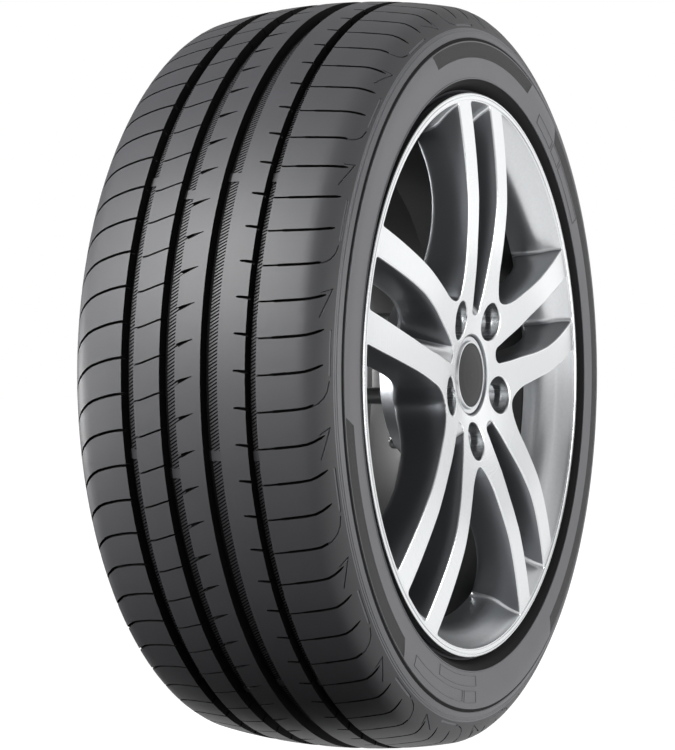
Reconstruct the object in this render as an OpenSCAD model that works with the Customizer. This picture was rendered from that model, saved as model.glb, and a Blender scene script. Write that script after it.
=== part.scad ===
// Car tyre fitted on its five twin spoke alloy wheel, with wheel bolts, centre cap and valve.
// The wheel axis is Y. The outer face of the wheel looks along -Y and +Z is up. The origin is the
// middle of the mounting face. Every module draws along its own +Z, towards the outer face, with
// z = 0 in the middle of the rim's width, and stand() turns it into place.

/* [Tyre] */
// Diameter over the tread
tyre_d = 634.3; // [620:0.1:650]
// Width over the two sidewalls
section_w = 227.4; // [222:0.1:232]
// Radius of the tread's crown across its width
crown_r = 536; // [400:1:800]
// Thickness from the tread surface to the inner liner
tread_t = 15; // [13.5:0.5:18]
// Thickness of the sidewall at its widest
sidewall_t = 7.6; // [6:0.1:9]
// Depth of the four grooves that run round the tread
groove_depth = 8; // [5:0.1:9]
// Clearance between a tyre bead and its seat on the rim
bead_gap = 0.3; // [0.1:0.05:0.6]

/* [Tread pattern] */
// Number of times that the tread pattern repeats round the tyre
pitches = 72; // [60:2:84]
// Inboard edge of the first groove, from the tyre's middle
groove_1 = -56.7; // [-58:0.1:-54]
// Width of the first groove
groove_1_w = 11.6; // [9:0.1:13]
// Inboard edge of the second groove
groove_2 = -22.2; // [-24:0.1:-20]
// Width of the second groove
groove_2_w = 13.6; // [10:0.1:15]
// Inboard edge of the third groove
groove_3 = 12.8; // [10:0.1:14]
// Width of the third groove
groove_3_w = 14.2; // [10:0.1:16]
// Inboard edge of the fourth groove
groove_4 = 49.2; // [47:0.1:50]
// Width of the fourth groove
groove_4_w = 8.7; // [7:0.1:10]
// Width of the grooves that cross the shoulders
shoulder_cut = 2.2; // [1.2:0.1:3]
// Width of the thin cuts across a rib
sipe_cut = 1.0; // [0.6:0.1:1.6]
// Depth of the cross grooves and notches
cut_depth = 6; // [3:0.1:7.5]

/* [Rim] */
// Diameter of the bead seats
seat_d = 436.6; // [436.6:0.1:436.8]
// Width between the two flanges
rim_w = 190.5; // [186:0.5:195]
// Height of a flange above its bead seat
flange_h = 18; // [17:0.1:19]
// Radius of the flange's curved back
flange_curve = 9.5; // [8:0.1:10]
// Thickness of a flange, from the tyre's side to its front face
flange_t = 14; // [12:0.1:15]
// Thickness of the barrel's wall
barrel_t = 6.5; // [5:0.1:8]
// Depth of the well below the bead seats
well_depth = 17.3; // [15:0.1:19]

/* [Spokes] */
// Number of spoke pairs and of wheel bolts
pairs = 5; // [5:1:5]
// Height of the spokes' crown, from the rim's middle
face_top = 115.7; // [112:0.1:117]
// Radius at which the spokes stand highest
face_r = 150; // [130:1:165]
// Height of the face beside the centre cap
hub_front = 100.5; // [98:0.1:102]
// Thickness of a spoke at its crown
spoke_depth = 33; // [26:0.5:38]
// Half the gap between the two spokes of a pair, near the rim
pair_gap = 21.3; // [18:0.1:24]
// Radius at which the gap between twin spokes begins
pair_start = 50; // [48:0.5:54]
// Radius at which the wide window between two pairs begins
window_start = 77.8; // [76:0.1:82]
// Half angle between the straight sides of a wide window
window_angle = 31.3; // [30:0.1:32]
// Radius on the window's middle line at which its straight sides would meet
window_apex = 59.4; // [57:0.1:62]

/* [Hub] */
// Height of the mounting face, from the rim's middle
mount_face = 48; // [40:0.5:52]
// Radius of the mounting pad
pad_r = 72; // [70:0.5:76]
// Diameter of the centre bore
bore_d = 57.1; // [54:0.1:58]
// Depth of the centre bore from the mounting face
bore_depth = 12; // [9:0.5:14]
// Depth from the mounting face to the shoulder that the cap's clips catch on
clip_depth = 20; // [19:0.5:24]
// Diameter of the bolt circle
bolt_circle = 112; // [110:0.5:115]
// Diameter of a bolt pocket
pocket_d = 32; // [30:0.5:34]
// Thickness of the pad under a bolt's seat
pocket_floor = 30; // [24:0.5:32]

/* [Wheel bolts] */
// Diameter of the bolt's thread
bolt_d = 14; // [12:0.5:14.5]
// Diameter of the plain shank between the thread and the cone, inside the pad
shank_d = 13; // [10.5:0.5:13.5]
// Diameter of the bolt hole in the pad
bolt_hole_d = 15; // [14.6:0.1:16]
// Width of the bolt's hexagon across its flats
bolt_hex = 17; // [16:0.5:19]
// Height of the hexagon above the bolt's collar
bolt_head_h = 18; // [14:0.5:20]
// Diameter of the bolt's collar
bolt_collar_d = 24; // [22:0.5:26]
// Length of the bolt below its collar
bolt_l = 52; // [46:1:58]
// Clearance between a bolt's cone and its seat
seat_gap = 0.2; // [0.1:0.05:0.4]

/* [Centre cap] */
// Diameter of the recess that holds the cap
cap_recess_d = 67.2; // [64:0.1:69]
// Diameter of the black disc
badge_d = 53.4; // [48:0.1:54.5]
// Height of the disc's face, from the rim's middle
badge_top = 99.8; // [99:0.1:101]
// Diameter of the bore that the cap's clips pass
clip_bore_d = 54; // [52:0.1:54.5]
// Number of clips on the cap
clips = 6; // [4:1:8]
// Clearance round the cap and its disc
cap_gap = 0.3; // [0.1:0.05:0.5]

/* [Valve] */
// Angle of the valve round the wheel, from the right hand side
valve_angle = 198; // [190:1:206]
// Diameter of the valve hole
valve_hole_d = 11.5; // [11:0.1:12]
// Length of the rubber stem beyond the rim
valve_l = 17; // [12:0.5:20]
// Diameter of the brass stem
stem_d = 7.7; // [7:0.1:8]

/* [Hidden] */
$fn = 96;

half_rim = rim_w / 2;
seat_r = seat_d / 2;
flange_r = seat_r + flange_h;
lip_s = half_rim + flange_t;
well_r = seat_r - well_depth;
seat_taper = tan(5);
seat_w = 20;
hump_h = 1;
hump_w = 3.5;
tyre_r = tyre_d / 2;
wide_s = section_w / 2;
eps = 0.01;

// Radius of the tread surface at distance s from the middle
function crown(s) = tyre_r - s * s / (2 * crown_r) - pow(abs(s) / 100, 4);

// Point on a cubic curve at t from 0 to 1
function bez(a, b, c, d, t) =
    pow(1 - t, 3) * a + 3 * pow(1 - t, 2) * t * b + 3 * (1 - t) * t * t * c + t * t * t * d;
function curve(a, b, c, d, n, skip = 0) = [for (i = [skip : n]) bez(a, b, c, d, i / n)];

// Points along an arc about a centre, from one angle to another
function arc(c, r, a0, a1, n) = [for (i = [0 : n]) c + r * [cos(a0 + (a1 - a0) * i / n),
                                                          sin(a0 + (a1 - a0) * i / n)]];
function flip(p) = [for (i = [len(p) - 1 : -1 : 0]) [p[i].x, -p[i].y]];
function reverse(p) = [for (i = [len(p) - 1 : -1 : 0]) p[i]];

// Places a drawing whose axis is Z on the wheel's own axis, with the mounting face at the origin
module stand() {
    rotate([90, 0, 0]) translate([0, 0, -mount_face]) children();
}

// One half of the tyre's outer skin as points of radius and distance, from the tread's middle to the toe
shoulder_s = wide_s - 21.7;
tread_half = [for (i = [0 : 6]) let (s = shoulder_s * i / 6) [crown(s), s]];
shoulder = curve([crown(shoulder_s), shoulder_s], [crown(shoulder_s) - 1.9, shoulder_s + 9],
                 [tyre_r - 23, wide_s - 4.5], [tyre_r - 40, wide_s - 0.2], 7, 1);
protector_r = flange_r + 13;
protector_s = lip_s + 2.8;
lower_wall = curve([tyre_r - 40, wide_s - 0.2], [tyre_r - 50, wide_s + 0.3],
                   [protector_r + 10, protector_s + 0.6], [protector_r, protector_s], 5, 1);
bead_r = seat_r + bead_gap;
bead_s = half_rim - bead_gap;
flange_c = [flange_r - flange_curve, half_rim + flange_curve];
protector = curve([protector_r, protector_s], [protector_r - 5, protector_s - 0.4],
                  [flange_r + 6, lip_s - 3], [flange_r + 2.5, flange_c.y - 3.5], 4, 1);
bead_wall = concat(arc(flange_c, flange_curve + bead_gap, 310, 270, 3),
                   [[bead_r + 5, bead_s], [bead_r + 1.6, bead_s - 1.4],
                    [bead_r - 4 * seat_taper, bead_s - 4],
                    [bead_r - (seat_w - 2) * seat_taper, half_rim - seat_w + 2]]);
outer_half = concat(tread_half, shoulder, lower_wall, protector, bead_wall);

// One half of the inner liner, from the toe to the tread's middle
toe_s = half_rim - seat_w + 2;
liner_r = tyre_r - tread_t;
inner_half = concat(
    curve([seat_r + 1, toe_s - 1.5], [seat_r + 18, toe_s + 6], [seat_r + 26, wide_s - sidewall_t - 4],
          [tyre_r - 49, wide_s - sidewall_t], 6),
    curve([tyre_r - 49, wide_s - sidewall_t], [tyre_r - 32, wide_s - sidewall_t + 0.5],
          [liner_r - 3, shoulder_s + 4], [liner_r - 1.5, shoulder_s - 18], 6, 1),
    [[liner_r, 0]]);

// Sizes of one repeat of the tread pattern, as distance across and distance round from its start
pitch_a = 360 / pitches;
rib_2 = groove_1 + groove_1_w;
rib_3 = groove_2 + groove_2_w;
shoulder_out = groove_4 + groove_4_w;
lap = 1;

// Cut along a straight line on the tread, from [across, round] to [across, round], with a floor
// that runs from radius f0 to radius f1 and a width that runs from w0 to w1
module tread_cut(from, to, f0, f1, w0, w1) {
    along = to - from;
    length = norm(along);
    rotate([0, 0, from.y / tyre_r * 180 / PI])
        translate([0, 0, from.x])
            rotate([-atan2(along.y, along.x), 0, 0])
                intersection() {
                    rotate([90, 0, 0])
                        linear_extrude(2 * max(w0, w1), center = true)
                            polygon([[f0, 0], [tyre_r + 5, 0], [tyre_r + 5, length], [f1, length]]);
                    rotate([0, 90, 0])
                        linear_extrude(tyre_r + 10)
                            polygon([[0, -w0 / 2], [0, w0 / 2], [-length, w1 / 2], [-length, -w1 / 2]]);
                }
}

module pitch_cuts() {
    deep = crown(60) - cut_depth;
    // inboard shoulder: almost straight, then swept back over the shoulder
    tread_cut([groove_1 + lap, 0], [-86, 6.5], deep, crown(86) - cut_depth + 1, shoulder_cut, shoulder_cut);
    tread_cut([-85.4, 6.1], [-104, 24], crown(86) - cut_depth + 1, tyre_r - 26, shoulder_cut, 1.4);
    // second rib: one thin cut across
    tread_cut([rib_2 - lap, 5.7], [groove_2 + lap, -0.8], deep + 2, deep + 2, sipe_cut, sipe_cut);
    // third rib: a notch that runs out to a point
    tread_cut([rib_3 - lap, -7.6], [rib_3 + 13.5, -13.2], deep + 1, deep + 3, 3, 0.4);
    // fourth rib: a short slit at its outer edge
    tread_cut([groove_4 - 9.5, -17], [groove_4 + lap, -16], deep + 1, deep + 1, 1.6, 2);
    // outboard shoulder: thin, then wide, then turned forward over the shoulder
    tread_cut([shoulder_out - lap, 14.1], [87, 12], deep, crown(87) - cut_depth + 1, sipe_cut, shoulder_cut);
    tread_cut([86.4, 12.1], [105.5, 5.6], crown(87) - cut_depth + 1, tyre_r - 25, shoulder_cut, 1.6);
}

module tread_groove(s, w) {
    top = tyre_r + 5;
    floor_r = crown(s + w / 2) - groove_depth;
    draft = 0.9;
    rotate_extrude()
        polygon([[floor_r, s + draft], [top, s - draft / 2], [top, s + w + draft / 2], [floor_r, s + w - draft]]);
}

module tyre() {
    color("#2b2b2c") stand()
        difference() {
            rotate_extrude()
                polygon(concat(flip(outer_half), outer_half, inner_half, flip(inner_half)));
            tread_groove(groove_1, groove_1_w);
            tread_groove(groove_2, groove_2_w);
            tread_groove(groove_3, groove_3_w);
            tread_groove(groove_4, groove_4_w);
            for (i = [0 : pitches - 1])
                rotate([0, 0, i * pitch_a]) pitch_cuts();
        }
}

// Barrel: the rim's section from the tyre's side round to the brake's side
hump_s = half_rim - seat_w;
slope_end = hump_s - 28;
well_end = -12;
rim_half_out = concat([[flange_r - 1.6, lip_s], [flange_r - 0.5, lip_s - 0.5], [flange_r, lip_s - 1.6]],
                      arc(flange_c, flange_curve, 360, 270, 6),
                      [[seat_r + 5.5, half_rim], [seat_r + 1.6, half_rim - 1.4],
                       [seat_r - 4 * seat_taper, half_rim - 4],
                       [seat_r - (seat_w - 1) * seat_taper, hump_s + 1]]);
rim_half_in = [[flange_r - 5.8, lip_s], [flange_r - 7.6, lip_s - 1.8],
               [flange_r - 15, half_rim + 2.5], [seat_r - barrel_t + 1.6, half_rim - 5.5],
               [seat_r - barrel_t - 1, half_rim - 14]];
hump_out = [[seat_r + hump_h - 1.2, hump_s - hump_w], [seat_r - 1.9, hump_s - 2 * hump_w]];
slope_in = barrel_t / cos(30);

module barrel() {
    well_out = [[well_r, slope_end], [well_r, well_end]];
    well_in = [[well_r - barrel_t, well_end - 1], [well_r - barrel_t, slope_end - 2]];
    rotate_extrude()
        polygon(concat(
            rim_half_out, hump_out, well_out,
            [[seat_r - 1.9, -slope_end - 4]], flip(concat(rim_half_out, [hump_out[0]])),
            flip([for (i = [len(rim_half_in) - 1 : -1 : 0]) rim_half_in[i]]),
            [[seat_r - barrel_t - 1.9, -slope_end - 5]], well_in,
            [[seat_r - 1.9 - barrel_t, hump_s - 2 * hump_w + 1.8]], reverse(rim_half_in)));
}

// Height of the spokes' face and of their back at radius r
function face_s(r) = face_top - (r < face_r
    ? (face_top - hub_front) * pow((face_r - r) / (face_r - 36), 1.6)
    : (face_top - lip_s + 0.9) * pow((r - face_r) / (flange_r - 6 - face_r), 1.6));
function back_s(r) = face_top - spoke_depth - (r < face_r ? 22 : 18.5)
    * pow(abs(r - face_r) / (r < face_r ? face_r - pad_r - 5 : 63), 2);

module dish() {
    outer_r = flange_r - 5;
    wall_mid = [[seat_r + 4.5, half_rim + 2.5], [seat_r - 2.6, half_rim - 7], [seat_r - 4.2, half_rim - 22]];
    front = concat([[0, hub_front], [36, hub_front]],
                   [for (r = [44, 56, 70, 86, 104, 122, 138, 154, 170, 186, 202, 216, outer_r]) [r, face_s(r)]]);
    back = [for (r = [212, 200, 186, 170, 150, 130, 112, 96, 84, pad_r + 5]) [r, back_s(r)]];
    rotate_extrude()
        polygon(concat(front, wall_mid, back, [[pad_r, mount_face], [0, mount_face]]));
}

// Wide window, drawn along +X from the hub outwards
module window_outline() {
    side = [for (u = [104, 150, 190, 240]) [u, (u - window_apex) * tan(window_angle)]];
    nose_r = 12.7;
    nose = arc([window_start + nose_r, 0], nose_r, 180, 130, 4);
    half = concat(nose, [[window_start + 13, 16.4], [window_start + 18.5, 21.2]], side);
    polygon(concat(half, [for (i = [len(half) - 1 : -1 : 1]) [half[i].x, -half[i].y]]));
}

// Gap between twin spokes, drawn along +X
module pair_outline() {
    half = concat(arc([pair_start + 7, 0], 7, 180, 100, 4),
                  [[70, 9.8], [81, 11.2], [92, 12.9], [104, 15.1], [116, 17.2], [128, 18.8], [142, 20],
                   [162, 20.9], [182, pair_gap], [240, pair_gap + 0.3]]);
    polygon(concat(half, [for (i = [len(half) - 1 : -1 : 1]) [half[i].x, -half[i].y]]));
}

module pair_cut() {
    ramp_end = pad_r + 8;
    difference() {
        linear_extrude(face_top + 10) pair_outline();
        // ramp that leads from the face down into the gap and leaves the pad whole
        rotate([90, 0, 0])
            linear_extrude(60, center = true)
                polygon([[0, 0], [0, hub_front + 20], [pair_start - 2, hub_front + 20],
                         [pair_start - 2, face_s(pair_start)], [pair_start + 9, hub_front - 14],
                         [ramp_end, mount_face - 1], [ramp_end, 0]]);
    }
}

module bolt_pocket() {
    floor_s = mount_face + pocket_floor;
    hole_r = bolt_hole_d / 2;
    cone_r = bolt_collar_d / 2 + 0.3;
    cone_h = (cone_r - hole_r) / tan(30);
    rotate_extrude()
        polygon([[0, mount_face - 1], [hole_r, mount_face - 1], [hole_r, floor_s - cone_h],
                 [cone_r, floor_s], [pocket_d / 2, floor_s], [pocket_d / 2, face_top], [0, face_top]]);
}

module hub_bore() {
    shelf = badge_top - 8;
    rotate_extrude()
        polygon([[0, mount_face - 1], [bore_d / 2 + 1, mount_face - 1], [bore_d / 2, mount_face + 1],
                 [bore_d / 2, mount_face + bore_depth], [bore_d / 2 + 1.2, mount_face + bore_depth + 1.2],
                 [bore_d / 2 + 1.2, mount_face + clip_depth], [clip_bore_d / 2, mount_face + clip_depth],
                 [clip_bore_d / 2, shelf], [cap_recess_d / 2, shelf],
                 [cap_recess_d / 2, hub_front - 1], [cap_recess_d / 2 + 1.5, hub_front + 1], [0, hub_front + 1]]);
}

// The valve stands square to the slope between the outboard seat and the well
valve_s = (hump_s - 2 * hump_w + slope_end) / 2;
valve_r = (seat_r - 1.9 + well_r) / 2;
slope_a = atan2(seat_r - 1.9 - well_r, hump_s - 2 * hump_w - slope_end);

module at_valve() {
    rotate([0, 0, valve_angle])
        translate([valve_r, 0, valve_s])
            rotate([0, -(90 - slope_a), 0])
                children();
}

module alloy_wheel() {
    color("#d4d6d8") stand()
        difference() {
            union() {
                barrel();
                difference() {
                    dish();
                    for (i = [0 : pairs - 1]) {
                        rotate([0, 0, 54 + i * 360 / pairs])
                            linear_extrude(face_top + 10) window_outline();
                        rotate([0, 0, 90 + i * 360 / pairs]) pair_cut();
                    }
                }
            }
            hub_bore();
            for (i = [0 : pairs - 1])
                rotate([0, 0, 54 + i * 360 / pairs])
                    translate([bolt_circle / 2, 0, 0]) bolt_pocket();
            at_valve() cylinder(d = valve_hole_d, h = 40, center = true);
        }
}

// Centre cap: a moulded ring with a recess for the disc and clips that catch behind the clip bore
cap_r = cap_recess_d / 2 - cap_gap;
cap_shelf = badge_top - 8;
leg_r = clip_bore_d / 2 - cap_gap;
hook_top = mount_face + clip_depth - cap_gap;

module centre_cap() {
    color("#c9cbcd") stand()
        difference() {
            rotate_extrude()
                polygon([[0, badge_top - 5], [0, badge_top - 1.6], [badge_d / 2 + cap_gap, badge_top - 1.6],
                         [badge_d / 2 + cap_gap, badge_top], [badge_d / 2 + 1.6, badge_top],
                         [badge_d / 2 + 2.6, badge_top - 2], [cap_r - 1, badge_top - 1.4],
                         [cap_r, badge_top - 2.4], [cap_r, cap_shelf + cap_gap], [leg_r, cap_shelf + cap_gap],
                         [leg_r, hook_top], [bore_d / 2 - cap_gap, hook_top], [leg_r - 1, hook_top - 5],
                         [leg_r - 2.4, hook_top - 5], [leg_r - 2.4, badge_top - 5]]);
            for (i = [0 : clips - 1])
                rotate([0, 0, i * 360 / clips])
                    translate([leg_r - 5, -5, hook_top - 6]) cube([10, 10, cap_shelf - hook_top]);
        }
}

module cap_badge() {
    r = badge_d / 2;
    color("#3c3d3f") stand()
        rotate_extrude()
            polygon([[0, badge_top - 1.6 + cap_gap / 3], [r, badge_top - 1.6 + cap_gap / 3], [r, badge_top - 0.6],
                     [r - 0.6, badge_top - 0.1], [r * 0.66, badge_top + 0.3], [r * 0.33, badge_top + 0.5],
                     [0, badge_top + 0.6]]);
}

module cap_spring() {
    wire_r = 0.8;
    color("#9a9c9f") stand()
        translate([0, 0, mount_face + clip_depth + 4])
            rotate_extrude()
                translate([leg_r - 2.4 - wire_r - 0.1, 0]) circle(r = wire_r, $fn = 32);
}

// Wheel bolt along +Z, with its cone seated in the pocket and its thread below the mounting face
module wheel_bolt() {
    floor_s = mount_face + pocket_floor + seat_gap;
    r = bolt_d / 2;
    plain_r = min(shank_d, bolt_d - 0.4) / 2;
    collar_r = bolt_collar_d / 2;
    cone_h = (collar_r - plain_r) / tan(30);
    hex_r = bolt_hex / 2 / cos(30);
    rotate_extrude()
        polygon([[0, floor_s - bolt_l], [r - 1.2, floor_s - bolt_l], [r, floor_s - bolt_l + 1.5],
                 [r, mount_face + 0.05], [plain_r, mount_face + 0.05 + r - plain_r],
                 [plain_r, floor_s - cone_h], [collar_r, floor_s], [collar_r, floor_s + 2],
                 [bolt_hex / 2 + 0.8, floor_s + 3.4], [0, floor_s + 3.4]]);
    intersection() {
        translate([0, 0, floor_s + 3.4 - eps])
            cylinder(r = hex_r, h = bolt_head_h - 3.4 + eps, $fn = 6);
        rotate_extrude()
            polygon([[0, floor_s], [hex_r + 1, floor_s], [hex_r + 1, floor_s + bolt_head_h - 1.6],
                     [bolt_hex / 2 - 0.6, floor_s + bolt_head_h + 0.4], [0, floor_s + bolt_head_h + 0.4]]);
    }
}

module wheel_bolts() {
    color("#b9bbbe") stand()
        for (i = [0 : pairs - 1])
            rotate([0, 0, 54 + i * 360 / pairs])
                translate([bolt_circle / 2, 0, 0]) wheel_bolt();
}

// Valve, drawn with z = 0 on the tyre's side of the rim wall and +Z out of the wheel
wall_t = barrel_t + 0.2;
stem_r = stem_d / 2;
stem_top = wall_t + valve_l + 9;

module valve_rubber() {
    hole_r = valve_hole_d / 2;
    color("#1f1f20") stand() at_valve()
        rotate_extrude()
            polygon([[stem_r, -9], [4.6, -9], [7.4, -4.4], [7.4, -0.4], [hole_r - 0.2, -0.4],
                     [hole_r - 0.2, wall_t + 0.4], [hole_r + 1.1, wall_t + 1.2], [hole_r + 0.5, wall_t + 6],
                     [5.4, wall_t + valve_l - 1], [5, wall_t + valve_l], [stem_r, wall_t + valve_l]]);
}

module valve_stem() {
    color("#b08d4f") stand() at_valve()
        rotate_extrude()
            polygon([[2.0, -10], [stem_r - 0.1, -10], [stem_r - 0.1, stem_top], [2.6, stem_top],
                     [2.6, stem_top - 9], [2.0, stem_top - 10]]);
}

module valve_core() {
    color("#c9a55c") stand() at_valve()
        rotate_extrude()
            polygon([[0, -4], [1.2, -4], [1.2, stem_top - 12], [1.8, stem_top - 11], [2.4, stem_top - 8],
                     [2.4, stem_top - 2.5], [0.8, stem_top - 2.5], [0.8, stem_top - 0.4], [0, stem_top - 0.4]]);
}

module valve_cap() {
    color("#161617") stand() at_valve()
        difference() {
            union() {
                translate([0, 0, wall_t + valve_l + 0.3]) cylinder(r = 4.9, h = 10.2);
                for (i = [0 : 11])
                    rotate([0, 0, i * 30])
                        translate([4.7, 0, wall_t + valve_l + 0.8]) cylinder(r = 0.5, h = 8.6, $fn = 16);
            }
            translate([0, 0, wall_t + valve_l]) cylinder(r = stem_r + 0.1, h = 9.3);
        }
}

tyre();
alloy_wheel();
centre_cap();
cap_badge();
cap_spring();
wheel_bolts();
valve_rubber();
valve_stem();
valve_core();
valve_cap();
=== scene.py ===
# %% [markdown]
# # A car tyre on its five twin spoke alloy wheel
#
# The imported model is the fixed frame: a mounted tyre, its cast wheel, the bolts, the cap and the
# valve, all in metres. This lesson dresses it. Each step says what the real piece is, how it could
# be made in Blender, and why this way was chosen. The wheel's axis is Y and its outer face looks
# along -Y. The sizes below are in millimetres, measured from the middle of the rim's width.

# %% Load the frame
import math

import bmesh
import bpy
import numpy as np
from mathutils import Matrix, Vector
from mathutils.geometry import delaunay_2d_cdt


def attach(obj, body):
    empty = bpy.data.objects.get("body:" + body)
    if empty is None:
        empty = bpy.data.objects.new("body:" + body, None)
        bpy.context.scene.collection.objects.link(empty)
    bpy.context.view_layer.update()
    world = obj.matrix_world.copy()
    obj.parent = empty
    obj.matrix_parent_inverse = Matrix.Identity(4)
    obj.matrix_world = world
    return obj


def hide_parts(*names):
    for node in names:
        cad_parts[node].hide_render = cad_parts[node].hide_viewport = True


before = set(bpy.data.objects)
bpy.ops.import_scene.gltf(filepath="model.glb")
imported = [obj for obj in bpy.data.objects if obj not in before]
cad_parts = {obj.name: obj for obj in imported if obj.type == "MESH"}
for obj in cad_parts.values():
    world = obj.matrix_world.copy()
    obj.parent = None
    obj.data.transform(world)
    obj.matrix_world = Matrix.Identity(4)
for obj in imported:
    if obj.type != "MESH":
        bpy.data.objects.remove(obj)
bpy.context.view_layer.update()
print("the frame holds", sorted(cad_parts))

# %% [markdown]
# The mounting face is the origin of the frame, and it lies a little outboard of the rim's middle.
# One function turns a point on the wheel, given across, up and outboard in millimetres, into the
# frame's metres, so every size below can be read off a drawing of the wheel.

# %% Place points in the frame
MOUNT_FACE = 48.0


def stand(across, up, out):
    """Metres in the frame from millimetres on the wheel."""
    across, up, out = np.broadcast_arrays(np.asarray(across, float), up, out)
    return np.stack([across, MOUNT_FACE - out, up], axis=-1) / 1000


def stand_ring(radius, degrees, out):
    """Metres in the frame from a radius, an angle up from the right hand side, and a distance outboard."""
    angle = np.radians(degrees)
    return stand(np.multiply(radius, np.cos(angle)), np.multiply(radius, np.sin(angle)), out)


print("the mounting face stands", MOUNT_FACE, "mm outboard of the rim's middle")

# %% [markdown]
# Colours are picked as sRGB hex values, as a paint chart gives them, and Blender works in linear
# light. One function converts them, and one more adds a node with its settings and its links.

# %% Colours and nodes
def colour(code):
    """Linear RGBA from an sRGB hex value."""
    channels = [int(code[i:i + 2], 16) / 255 for i in (1, 3, 5)]
    linear = [c / 12.92 if c <= 0.04045 else ((c + 0.055) / 1.055) ** 2.4 for c in channels]
    return (*linear, 1.0)


def add(tree, kind, settings=None, links=None):
    """A node of one kind. Settings name its properties or its sockets, and links feed its sockets."""
    node = tree.nodes.new(kind)
    for key, value in (settings or {}).items():
        if isinstance(key, int) or key in node.inputs:
            node.inputs[key].default_value = value
        else:
            setattr(node, key, value)
    for key, source in (links or {}).items():
        tree.links.new(source, node.inputs[key])
    return node


def start_material(name, base, metallic, roughness):
    """A material with its plain values on the shader's own sockets."""
    material = bpy.data.materials.new(name)
    material.use_nodes = True
    shader = material.node_tree.nodes["Principled BSDF"]
    shader.inputs["Base Color"].default_value = colour(base)
    shader.inputs["Metallic"].default_value = metallic
    shader.inputs["Roughness"].default_value = roughness
    place = add(material.node_tree, "ShaderNodeTexCoord").outputs["Object"]
    return material, material.node_tree, shader, place


print("sRGB #808080 is", round(colour("#808080")[0], 3), "in linear light")

# %% [markdown]
# The camera stands level with the wheel's middle, two metres away and a little over sixty degrees
# round from the face, so the tread fills the left of the picture and the face is foreshortened.
# Its focal length comes from the size of the wheel in the picture: a long lens.

# %% Camera
camera_data = bpy.data.cameras.new("camera")
camera_data.sensor_fit = "VERTICAL"
camera_data.sensor_height = 36
camera_data.lens = 117.7
camera = bpy.data.objects.new("camera", camera_data)
bpy.context.scene.collection.objects.link(camera)
camera.location = (-1.9144, -0.8371, 0)
look = Vector((0.9032, 0.4293, 0))
camera.rotation_euler = look.to_track_quat("-Z", "Y").to_euler()
bpy.context.scene.camera = camera
print("the camera stands", round(camera.location.length, 3), "m from the mounting face")

# %% [markdown]
# The floor is a sheet of opal acrylic lit from below, as on a table for product pictures, so it stays
# white under the part and shows no horizon. Its faint grain is real, but the glow hides all but a trace.

# %% Floor
FLOOR_UP = -317.15
FLOOR_REACH = 30000.0


def flat_sheet(name, corners, material):
    """A flat stage object from points in metres."""
    mesh = bpy.data.meshes.new(name)
    mesh.from_pydata(corners, [], [range(len(corners))])
    mesh.materials.append(material)
    sheet = bpy.data.objects.new(name, mesh)
    bpy.context.scene.collection.objects.link(sheet)
    return sheet


acrylic, tree, shader, place = start_material("opal_acrylic", "#606060", 0.0, 0.7)
grain = add(tree, "ShaderNodeTexNoise", {"Scale": 900.0, "Detail": 2.0}, {"Vector": place})
tint = add(tree, "ShaderNodeMix", {"data_type": "RGBA", 6: colour("#5c5c5c"), 7: colour("#646464")},
           {0: grain.outputs[0]})
tree.links.new(tint.outputs[2], shader.inputs["Base Color"])
shader.inputs["Specular IOR Level"].default_value = 0.0
shader.inputs["Emission Color"].default_value = (1, 1, 1, 1)
shader.inputs["Emission Strength"].default_value = 1.02
turns = [math.radians(a) for a in range(0, 360, 10)]
flat_sheet("floor", [stand(FLOOR_REACH * math.cos(a), FLOOR_UP, FLOOR_REACH * math.sin(a)) for a in turns], acrylic)
print("laid the floor", FLOOR_UP, "mm from the axis")

# %% [markdown]
# Two black sheets hold light back, as a photographer's would. A cloth lies on the floor before the tread
# and behind the wheel, and keeps the floor's glow off the tread's lower half. Where it ends under the
# wheel decides how dark the foot of the tread comes out. A flag stands upright on the inboard side, so
# that shoulder falls into shade before its edge catches the light. No view sees either of them.

# %% Black cloth and flag
CLOTH_UP = -0.3165
cloth, tree, shader, place = start_material("black_cloth", "#050505", 0.0, 0.9)
nap = add(tree, "ShaderNodeTexNoise", {"Scale": 700.0}, {"Vector": place})
tint = add(tree, "ShaderNodeMix", {"data_type": "RGBA", 6: colour("#040404"), 7: colour("#090909")},
           {0: nap.outputs[0]})
tree.links.new(tint.outputs[2], shader.inputs["Base Color"])
cloth_line = [(-2.6, -0.6), (-0.45, -0.6), (-0.45, -0.12), (-0.115, -0.12), (-0.115, 0.3), (1.2, 0.3), (1.2, 2.5),
              (-2.6, 2.5)]
flag_line = [(-1.9, 0.35, -0.31), (-0.6, 1.5, -0.31), (-0.6, 1.5, 0.35), (-1.9, 0.35, 0.35)]
for sheet in (flat_sheet("black_cloth", [(x, y, CLOTH_UP) for x, y in cloth_line], cloth),
              flat_sheet("black_flag", flag_line, cloth)):
    sheet.visible_camera = False
    print("hung", sheet.name)

# %% [markdown]
# The room is a white tent, and it shines mostly from the right and from above, where its big window is:
# the polished face turns that way and comes out nearly white, while the tread looks into the dim side.
# Seen directly, the tent is plain white all round.

# %% Room
WINDOW_SIDE = Vector((0.70, -0.62, 0.36)).normalized()
DIM_SIDE = 0.12
BRIGHT_SIDE = 0.85

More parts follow.
